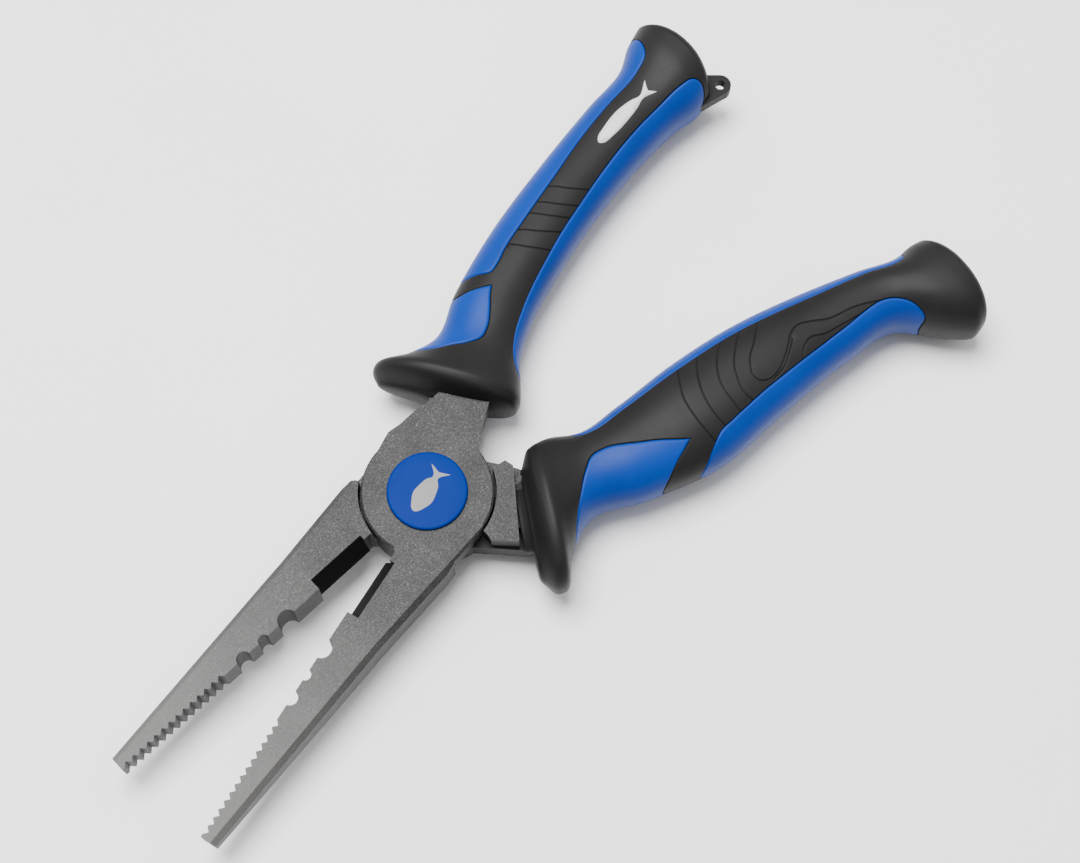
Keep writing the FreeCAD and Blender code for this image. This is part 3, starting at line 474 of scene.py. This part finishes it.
def ring_cap(grip, s, profile, outward):
    """Rings that close one end of a grip, from its last section to a centre point."""
    angles = np.linspace(0, 2 * math.pi, 2 * GRID_ROUND, endpoint=False)
    section = grip.point(np.full(len(angles), s), angles)
    centre = section.mean(axis=0)
    across = section[0] - centre
    forward = np.array([-across[1], across[0], 0]) / np.linalg.norm(across)
    step = grip.point(np.array(s + outward), np.array(0.0)) - grip.point(np.array(s), np.array(0.0))
    if forward @ step < 0:
        forward = -forward
    inward = -across / np.linalg.norm(across)
    rings = [section]
    for share, outward_by, inward_by in profile:
        rings.append(centre + (section - centre) * share + forward * outward_by + inward * inward_by)
    vertices = np.concatenate(rings + [[rings[-1].mean(axis=0)]])
    n, faces = len(angles), []
    for k in range(len(rings) - 1):
        faces += ring_faces(k, n)
    last = (len(rings) - 1) * n
    faces.extend((last + i, last + (i + 1) % n, len(vertices) - 1) for i in range(n))
    return vertices, faces


def make_cover(name, grip, panels, grooves, nose, body, material):
    """The black part of a grip: one closed surface with pockets for the panels and cut grooves."""
    seams = [(clipped(panel_line(o), math.radians(o[0][1])), o) for o in panels.values()]
    channels = [smooth_line(groove) for groove in grooves]
    lines = []
    for seam, outline in seams:
        border = math.radians(outline[0][1])
        inward = -1 if border == 0 else 1
        long_line = panel_line(outline)
        lines.append(seam)
        lines.append(clipped(moved(grip, long_line, inward * POCKET_WALL), border))
        lines.append(clipped(moved(grip, long_line, -inward * SUPPORT), border))
    for channel in channels:
        for offset in (GROOVE_FLOOR, GROOVE_HALF, GROOVE_HALF + SUPPORT):
            lines.append(moved(grip, channel, offset))
            lines.append(moved(grip, channel, -offset))
    grid = grid_points(grip, lines)
    angles = np.linspace(0, math.pi, GRID_ROUND + 1)
    along = np.concatenate([[0.0], grip.steps(0.0, grip.length), [grip.length]])
    edge = [
        np.stack([np.zeros_like(angles), angles], axis=1),
        np.stack([np.full_like(angles, grip.length), angles], axis=1),
        np.stack([along, np.zeros_like(along)], axis=1),
        np.stack([along, np.full_like(along, math.pi)], axis=1),
    ]
    flat, faces = triangulate(lines + edge, grid, closed_only=False)
    flat[:, 1] = np.clip(flat[:, 1], 0, math.pi)
    at = grip.point(flat[:, 0], flat[:, 1])
    depth = np.zeros(len(flat))
    for seam, _ in seams:
        near = distances(at, grip.point(seam[:, 0], seam[:, 1]))
        pocket = POCKET_DEPTH * np.clip(near / POCKET_WALL, 0, 1)
        depth = np.where(is_inside(flat, seam), np.maximum(depth, pocket), depth)
    for channel in channels:
        near = distances(at, grip.point(channel[:, 0], channel[:, 1]))
        share = np.clip((GROOVE_HALF - near) / (GROOVE_HALF - GROOVE_FLOOR), 0, 1)
        depth = np.maximum(depth, GROOVE_DEPTH * share)
    top = at - grip.normal(flat[:, 0], flat[:, 1]) * depth[:, None]
    on_side = (flat[:, 1] < SAME_ANGLE) | (flat[:, 1] > math.pi - SAME_ANGLE)
    top[on_side, 2] = 0
    vertices, faces = mirrored_halves(top, faces)
    for s, profile, outward in ((0.0, nose, -1.0), (grip.length, BUTT_DOME, 1.0)):
        more, more_faces = ring_cap(grip, s, profile, outward)
        faces = faces + [tuple(len(vertices) + i for i in f) for f in more_faces]
        vertices = np.concatenate([vertices, more])
    placed = grip.to_row(vertices)
    return finish_mesh(name + "_moulding", placed, faces, body, material, name)


def thicken(skin, back, faces):
    """A closed sheet between the skin and its back, from the skin's triangles."""
    count = len(skin)
    uses = {}
    for face in faces:
        for a, b in zip(face, face[1:] + face[:1]):
            uses.setdefault(frozenset((a, b)), []).append((a, b))
    rim = [pairs[0] for pairs in uses.values() if len(pairs) == 1]
    sides = [(b, a, a + count, b + count) for a, b in rim]
    backs = [tuple(count + i for i in reversed(f)) for f in faces]
    return np.concatenate([skin, back]), faces + backs + sides


def welded(points, faces):
    """The same faces with points at the same place counted once."""
    keys, index, new = {}, [], []
    for k, p in enumerate(np.round(points, 5)):
        key = tuple(p)
        if key not in keys:
            keys[key] = len(new)
            new.append(k)
        index.append(keys[key])
    faces = [tuple(index[i] for i in f) for f in faces]
    return new, [f for f in faces if len(set(f)) == 3]


def make_panel(name, grip, outline, body, material):
    """A blue panel: a sheet with rounded edges that lies in its pocket and wraps round the side."""
    border = math.radians(outline[0][1])
    inward = -1 if border == 0 else 1
    long_line = panel_line(outline)
    rim = clipped(moved(grip, long_line, inward * SEAM_WIDTH), border)
    lines = [rim]
    for share in PANEL_ROWS:
        distance = SEAM_WIDTH + PANEL_ROUNDING * share
        lines.append(clipped(moved(grip, long_line, inward * distance), border))
    low, high = rim[:, 0].min(), rim[:, 0].max()
    side_count = int((rim[-1, 0] - rim[0, 0]) / GRID_ALONG)
    side = np.stack([np.linspace(rim[-1, 0], rim[0, 0], side_count), np.full(side_count, border)], axis=1)
    grid = grid_points(grip, lines, low, high)
    flat, faces = triangulate([np.concatenate([rim, side])] + lines[1:], grid, closed_only=True)
    flat[:, 1] = np.clip(flat[:, 1], 0, math.pi)
    at = grip.point(flat[:, 0], flat[:, 1])
    near = distances(at, grip.point(rim[:, 0], rim[:, 1]))
    height = PANEL_PROUD - PANEL_DROP * (1 - np.clip(near / PANEL_ROUNDING, 0, 1)) ** 2
    out = grip.normal(flat[:, 0], flat[:, 1])
    on_side = np.abs(flat[:, 1] - border) < SAME_ANGLE
    skin = at + out * height[:, None]
    back = at - out * PANEL_BACK
    skin[on_side, 2] = 0
    back[on_side, 2] = 0
    skin, all_faces = mirrored_halves(skin, faces)
    back, _ = mirrored_halves(back, faces)
    kept, all_faces = welded(skin, all_faces)
    vertices, all_faces = thicken(skin[kept], back[kept], all_faces)
    placed = grip.to_row(vertices)
    return finish_mesh(name + "_overmould", placed, all_faces, body, material, name)


def make_badge(grip, body, material):
    """The plain fish let into the grip near its butt, a thin layer that follows the surface."""
    s0, a0 = BADGE_PLACE[0], math.radians(BADGE_PLACE[1])
    _, around = grip.slopes(np.array(s0), np.array(a0))
    scale = math.degrees(1 / np.linalg.norm(around))
    outline = [(s0 + u, math.degrees(a0) - v * scale) for u, v in FISH]
    rim = smooth_line(outline + outline[:1], BADGE_SPACING)
    low, high = rim[:, 0].min() - GRID_ALONG, rim[:, 0].max()
    grid = grid_points(grip, [rim], low, high)
    flat, faces = triangulate([rim], grid, closed_only=True)
    at = grip.point(flat[:, 0], flat[:, 1])
    out = grip.normal(flat[:, 0], flat[:, 1])
    vertices, faces = thicken(at + out * BADGE_PROUD, at - out * BADGE_BACK, faces)
    placed = grip.to_row(vertices)
    return finish_mesh("fish_badge", placed, faces, body, material, "upper_grip_badge")


def disc_rings(radius, low, high, rounding):
    """Rings of a round plate with a rounded upper rim, from underneath to on top."""
    turns = np.linspace(0, math.pi / 2, CAP_RIM_STEPS)
    middle, level = radius - rounding, high - rounding
    rim = [(middle + rounding * math.cos(a), level + rounding * math.sin(a)) for a in turns]
    top = [(radius * share, high) for share in CAP_TOP_RINGS]
    return [(radius * CAP_UNDER_RING, low), (radius, low), *rim, *top]


def make_cap(material):
    """The pivot's cap: a round plate with a softly rounded rim."""
    (low_x, low_y, low), (high_x, high_y, high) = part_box("cap_disc")
    centre = Vector(((low_x + high_x) / 2, (low_y + high_y) / 2, 0))
    radius = (high_x - low_x) / 2
    rings = disc_rings(radius, low, high, CAP_ROUNDING * MM)
    turns = np.linspace(0, 2 * math.pi, CAP_SIDES, endpoint=False)
    vertices = [
        centre + Vector((r * math.cos(a), r * math.sin(a), z)) for r, z in rings for a in turns
    ]
    faces = []
    for k in range(len(rings) - 1):
        faces += ring_faces(k, CAP_SIDES)
    last = len(rings) - 1
    faces.append(tuple(range(CAP_SIDES)))
    faces.append(tuple(last * CAP_SIDES + i for i in range(CAP_SIDES)))
    return finish_mesh("pivot_cap", vertices, faces, "upper", material, "cap_disc")


def make_cap_fish(material):
    """The plain silver fish let into the cap."""
    low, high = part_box("cap_emblem")
    outline = [(x, math.degrees(y)) for x, y in CAP_FISH + CAP_FISH[:1]]
    line = smooth_line(outline, CAP_FISH_SPACING)[:-1]
    place = to_row(np.array([(x, y, 0) for x, y in line]), "upper")
    top = [(x, y, high[2] + CAP_FISH_PROUD * MM) for x, y, _ in place]
    bottom = [(x, y, low[2]) for x, y, _ in place]
    count = len(place)
    faces = [tuple(range(count)), tuple(range(count, 2 * count))]
    faces += ring_faces(0, count)
    return finish_mesh(
        "cap_fish", top + bottom, faces, "upper", material, "cap_emblem", smooth=False
    )


# ---------------------------------------------------------------- materials


class Finish:
    """A node material under construction."""

    def __init__(self, name):
        self.material = bpy.data.materials.new(name)
        self.material.use_nodes = True
        self.tree = self.material.node_tree
        self.shader = self.tree.nodes["Principled BSDF"]
        self.place = self.tree.nodes.new("ShaderNodeTexCoord")

    def join(self, source, target):
        self.tree.links.new(source, target)

    def colour(self, source):
        """The colour of the whole surface."""
        self.join(source, self.shader.inputs["Base Color"])

    def set(self, name, value):
        self.shader.inputs[name].default_value = value

    def noise(self, scale, detail=4.0, roughness=0.55):
        """Soft noise that stays on the solid; a larger scale is finer."""
        made = self.tree.nodes.new("ShaderNodeTexNoise")
        made.inputs["Scale"].default_value = scale
        made.inputs["Detail"].default_value = detail
        made.inputs["Roughness"].default_value = roughness
        self.join(self.place.outputs["Object"], made.inputs["Vector"])
        return made.outputs["Fac"]

    def ramp(self, source, stops):
        """Colours for levels of the source."""
        made = self.tree.nodes.new("ShaderNodeValToRGB")
        elements = made.color_ramp.elements
        while len(elements) < len(stops):
            elements.new(0.5)
        for element, (position, colour) in zip(elements, stops):
            element.position = position
            element.color = (*colour, 1)
        self.join(source, made.inputs["Fac"])
        return made.outputs["Color"]

    def mottled(self, dark, light, scale, detail=4.0):
        """Two colours in soft patches."""
        return self.ramp(self.noise(scale, detail), [(0.3, dark), (0.7, light)])

    def mix(self, factor, first, second, kind):
        """Two colours mixed; the factor and the second colour may be plain values."""
        made = self.tree.nodes.new("ShaderNodeMix")
        made.data_type = "RGBA"
        made.blend_type = kind
        for value, target in ((factor, MIX_FACTOR), (first, MIX_FIRST), (second, MIX_SECOND)):
            if isinstance(value, (float, tuple)):
                made.inputs[target].default_value = value
            else:
                self.join(value, made.inputs[target])
        return made.outputs[MIX_RESULT]

    def lever_axes(self, side):
        """Place along and across a lever, by turning the open lever back to the closed direction."""
        turned = self.tree.nodes.new("ShaderNodeVectorRotate")
        turned.inputs["Center"].default_value = PIVOT
        turned.inputs["Angle"].default_value = -HALF_OPENING if side == "upper" else HALF_OPENING
        self.join(self.place.outputs["Object"], turned.inputs["Vector"])
        axes = self.tree.nodes.new("ShaderNodeSeparateXYZ")
        self.join(turned.outputs["Vector"], axes.inputs["Vector"])
        return axes.outputs

    def fade(self, axes, begin, end, amount):
        """0 up to one distance along the lever, rising to an amount at another."""
        made = self.tree.nodes.new("ShaderNodeMapRange")
        made.inputs["From Min"].default_value = PIVOT.x + begin * MM
        made.inputs["From Max"].default_value = PIVOT.x + end * MM
        made.inputs["To Max"].default_value = amount
        self.join(axes["X"], made.inputs["Value"])
        return made.outputs["Result"]

    def mask(self, axes, side, box):
        """1 inside a box in the lever's own frame, 0 outside."""
        flips = (1, 1 if side == "upper" else -1, 1)
        inside = None
        for axis, middle, flip, (begin, end) in zip("XYZ", PIVOT, flips, box):
            near = self.tree.nodes.new("ShaderNodeMath")
            near.operation = "COMPARE"
            near.inputs[1].default_value = middle + flip * (begin + end) / 2 * MM
            near.inputs[2].default_value = (end - begin) / 2 * MM
            self.join(axes[axis], near.inputs[0])
            if inside is None:
                inside = near.outputs[0]
                continue
            both = self.tree.nodes.new("ShaderNodeMath")
            both.operation = "MULTIPLY"
            self.join(inside, both.inputs[0])
            self.join(near.outputs[0], both.inputs[1])
            inside = both.outputs[0]
        return inside

    def roughness(self, source, low, high):
        """Roughness that follows the source between two values."""
        made = self.tree.nodes.new("ShaderNodeMapRange")
        made.inputs["To Min"].default_value = low
        made.inputs["To Max"].default_value = high
        self.join(source, made.inputs["Value"])
        self.join(made.outputs["Result"], self.shader.inputs["Roughness"])

    def bump(self, source, strength, distance):
        """Fine relief; the distance is in metres."""
        made = self.tree.nodes.new("ShaderNodeBump")
        made.inputs["Strength"].default_value = strength
        made.inputs["Distance"].default_value = distance
        self.join(source, made.inputs["Height"])
        self.join(made.outputs["Normal"], self.shader.inputs["Normal"])


def grey(level):
    return (level, level, level)


def plastic(name, dark, light, rough, gloss=0.3):
    """Moulded plastic with a faint grain and slow colour change."""
    finish = Finish(name)
    finish.set("Specular IOR Level", gloss)
    finish.colour(finish.mottled(dark, light, scale=60))
    finish.roughness(finish.noise(scale=900), *rough)
    finish.bump(finish.noise(scale=5200, detail=2.0), strength=0.12, distance=0.00004)
    return finish.material


def grip_black():
    warm_black = (0.01, 0.0094, 0.0094)
    lighter = (0.014, 0.0132, 0.0132)
    return plastic("grip_black", warm_black, lighter, rough=(0.38, 0.48), gloss=0.08)


def grip_blue():
    royal_blue = (0.001, 0.026, 0.19)
    lighter = (0.0015, 0.033, 0.23)
    return plastic("grip_blue", royal_blue, lighter, rough=(0.36, 0.46), gloss=0.1)


def core_black():
    return plastic("core_black", grey(0.012), grey(0.02), rough=(0.5, 0.6))


def badge_white():
    return plastic("badge_white", grey(0.5), grey(0.58), rough=(0.4, 0.5))


def cap_blue():
    deep_blue = (0.0004, 0.014, 0.14)
    lighter = (0.0005, 0.016, 0.155)
    return plastic("cap_blue", deep_blue, lighter, rough=(0.3, 0.4), gloss=0.02)


def emblem_silver():
    return plastic("emblem_silver", grey(0.14), grey(0.18), rough=(0.35, 0.5), gloss=0.2)


def coated_steel(name, side, painted_shade_boxes):
    """Blasted, coated steel: light specks, mottled; painted sheen paler to the tips, painted shade near
    black in the boxes.
    """
    painted_shade_black = (0.008, 0.008, 0.008, 1)
    painted_sheen_steel = (0.2, 0.196, 0.192, 1)
    finish = Finish(name)
    grains = finish.noise(scale=3000, detail=3.0, roughness=0.6)
    speckled = finish.ramp(grains, [
        (0.36, (0.024, 0.0236, 0.0234)),
        (0.52, (0.038, 0.0373, 0.037)),
        (0.64, (0.056, 0.055, 0.0545)),
        (0.76, (0.17, 0.1675, 0.165)),
    ])
    patches = finish.mottled(grey(0.72), grey(1), scale=110, detail=3.0)
    colour = finish.mix(1.0, speckled, patches, "MULTIPLY")
    axes = finish.lever_axes(side)
    # Painted sheen: the jaws grow paler towards their tips.
    colour = finish.mix(finish.fade(axes, *TIP_SHEEN_FADE), colour, painted_sheen_steel, "MIX")
    # Painted shade: near black on the cutter's bevels, and on the lower lever's neck where shade falls.
    for box in painted_shade_boxes:
        colour = finish.mix(finish.mask(axes, side, box), colour, painted_shade_black, "MIX")
    finish.colour(colour)
    finish.set("Metallic", 0.15)
    finish.set("Specular IOR Level", 0.06)
    finish.roughness(finish.noise(scale=1900), low=0.36, high=0.52)
    finish.bump(grains, strength=0.3, distance=0.00006)
    return finish.material


def plain_steel(name, dark, light, rough):
    """Bright machined steel with a fine grain."""
    finish = Finish(name)
    finish.colour(finish.mottled(dark, light, scale=1500))
    finish.set("Metallic", 0.9)
    finish.roughness(finish.noise(scale=2500), *rough)
    finish.bump(finish.noise(scale=4000), strength=0.1, distance=0.00003)
    return finish.material


def pivot_steel():
    return plain_steel("pivot_steel", grey(0.07), grey(0.12), rough=(0.3, 0.42))


def spring_steel():
    return plain_steel("spring_steel", (0.3, 0.3, 0.31), (0.45, 0.45, 0.46), rough=(0.2, 0.35))


def floor_paper():
    finish = Finish("floor_paper")
    finish.colour(finish.mottled(grey(0.86), grey(0.9), scale=9))
    finish.roughness(finish.noise(scale=400), low=0.7, high=0.85)
    return finish.material


def paint(nodes, names, material):
    """Gives pieces that keep their solids a material."""
    for name in names:
        item = nodes[name]
        item.data.materials.clear()
        item.data.materials.append(material)


# ---------------------------------------------------------------- studio


def make_floor():
    """A plain pale floor."""
    mesh = bpy.data.meshes.new("floor")
    work = bmesh.new()
    bmesh.ops.create_grid(work, x_segments=4, y_segments=4, size=FLOOR_HALF)
    work.to_mesh(mesh)
    work.free()
    mesh.materials.append(floor_paper())
    floor = bpy.data.objects.new("floor", mesh)
    bpy.context.collection.objects.link(floor)


def add_light(name, place, target, size, power):
    """A round lamp that faces its target."""
    data = bpy.data.lights.new(name, "AREA")
    data.shape = "DISK"
    data.size = size
    data.energy = power
    light = bpy.data.objects.new(name, data)
    light.location = place
    light.rotation_euler = (Vector(target) - Vector(place)).to_track_quat("-Z", "Y").to_euler()
    bpy.context.collection.objects.link(light)


def studio_sky(world):
    """A dim sky with a few soft bright patches."""
    tree = world.node_tree
    place = tree.nodes.new("ShaderNodeTexCoord").outputs["Generated"]
    total = None
    for direction, begin, full, brightness in SKY_PATCHES:
        lean = tree.nodes.new("ShaderNodeVectorMath")
        lean.operation = "DOT_PRODUCT"
        lean.inputs[1].default_value = direction
        tree.links.new(place, lean.inputs[0])
        glow = tree.nodes.new("ShaderNodeMapRange")
        glow.interpolation_type = "SMOOTHSTEP"
        glow.inputs["From Min"].default_value = begin
        glow.inputs["From Max"].default_value = full
        glow.inputs["To Max"].default_value = brightness
        tree.links.new(lean.outputs["Value"], glow.inputs["Value"])
        added = tree.nodes.new("ShaderNodeMath")
        added.inputs[0].default_value = SKY_LEAST
        if total:
            tree.links.new(total, added.inputs[0])
        tree.links.new(glow.outputs["Result"], added.inputs[1])
        total = added.outputs[0]
    tree.links.new(total, tree.nodes["Background"].inputs["Strength"])


def make_studio(centre):
    """Floor, sky and lamp round the pliers."""
    make_floor()
    world = bpy.data.worlds.new("studio")
    bpy.context.scene.world = world
    world.use_nodes = True
    world.node_tree.nodes["Background"].inputs["Color"].default_value = (1, 1, 1, 1)
    studio_sky(world)
    add_light("soft_top", centre + LAMP_PLACE, centre, LAMP_SIZE, LAMP_POWER)


def make_camera(pivot):
    """Looks down on the open pliers, leaning over to the jaws and the lower lever's side."""
    back = LEAN_TOWARD * math.sin(LEAN) + Vector((0, 0, 1)) * math.cos(LEAN)
    right = Vector((-LEAN_TOWARD.y, LEAN_TOWARD.x, 0))
    up = back.cross(right)
    data = bpy.data.cameras.new("camera")
    data.lens = LENS
    data.sensor_width = SENSOR_WIDTH
    camera = bpy.data.objects.new("camera", data)
    turn = Matrix([right, up, back]).transposed().to_4x4()
    camera.matrix_world = Matrix.Translation(pivot + AIM + back * CAMERA_DISTANCE) @ turn
    bpy.context.collection.objects.link(camera)
    bpy.context.scene.camera = camera


# ---------------------------------------------------------------- the pliers


def paint_solids(nodes, black):
    """Levers, pivot parts, cores and lanyard tab keep their solids."""
    # The cutter's bevels and the lower lever's neck get painted shade in the steel.
    paint(nodes, ["upper_lever"], coated_steel("upper_steel", "upper", [CUTTER_SHADE_BOX]))
    paint(nodes, ["lower_lever"], coated_steel("lower_steel", "lower", [CUTTER_SHADE_BOX, NECK_SHADE_BOX]))
    paint(nodes, ["pivot_bolt", "pivot_nut"], pivot_steel())
    paint(nodes, ["return_spring", "tension_washer", "thrust_washer"], spring_steel())
    paint(nodes, ["upper_grip_core", "lower_grip_core"], core_black())
    paint(nodes, ["lanyard_tab"], black)


def make_grips(black):
    """Both covers with their blue panels, and the upper grip's fish."""
    blue = grip_blue()
    upper = Grip(UPPER_STATIONS, "upper")
    lower = Grip(LOWER_STATIONS, "lower")
    make_cover("upper_grip_cover", upper, UPPER_PANELS, UPPER_GROOVES, UPPER_NOSE, "upper", black)
    make_cover("lower_grip_cover", lower, LOWER_PANELS, LOWER_GROOVES, LOWER_NOSE, "lower", black)
    for panel, outline in UPPER_PANELS.items():
        make_panel(panel, upper, outline, "upper", blue)
    for panel, outline in LOWER_PANELS.items():
        make_panel(panel, lower, outline, "lower", blue)
    make_badge(upper, "upper", badge_white())


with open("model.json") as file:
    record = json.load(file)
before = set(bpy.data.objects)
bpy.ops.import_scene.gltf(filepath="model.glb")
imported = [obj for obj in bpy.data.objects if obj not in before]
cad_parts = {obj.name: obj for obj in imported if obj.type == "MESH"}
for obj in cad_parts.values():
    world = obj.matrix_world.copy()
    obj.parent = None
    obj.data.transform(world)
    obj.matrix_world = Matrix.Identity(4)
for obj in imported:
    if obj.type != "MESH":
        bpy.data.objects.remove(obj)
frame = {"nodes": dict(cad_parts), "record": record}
cad_low, cad_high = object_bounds()
PIVOT = Vector(frame["record"]["behaviour"]["joints"][0]["pos_m"])

moulding_black = grip_black()
paint_solids(frame["nodes"], moulding_black)
make_grips(moulding_black)
make_cap(cap_blue())
make_cap_fish(emblem_silver())

make_studio((cad_low + cad_high) / 2)
make_camera(PIVOT)
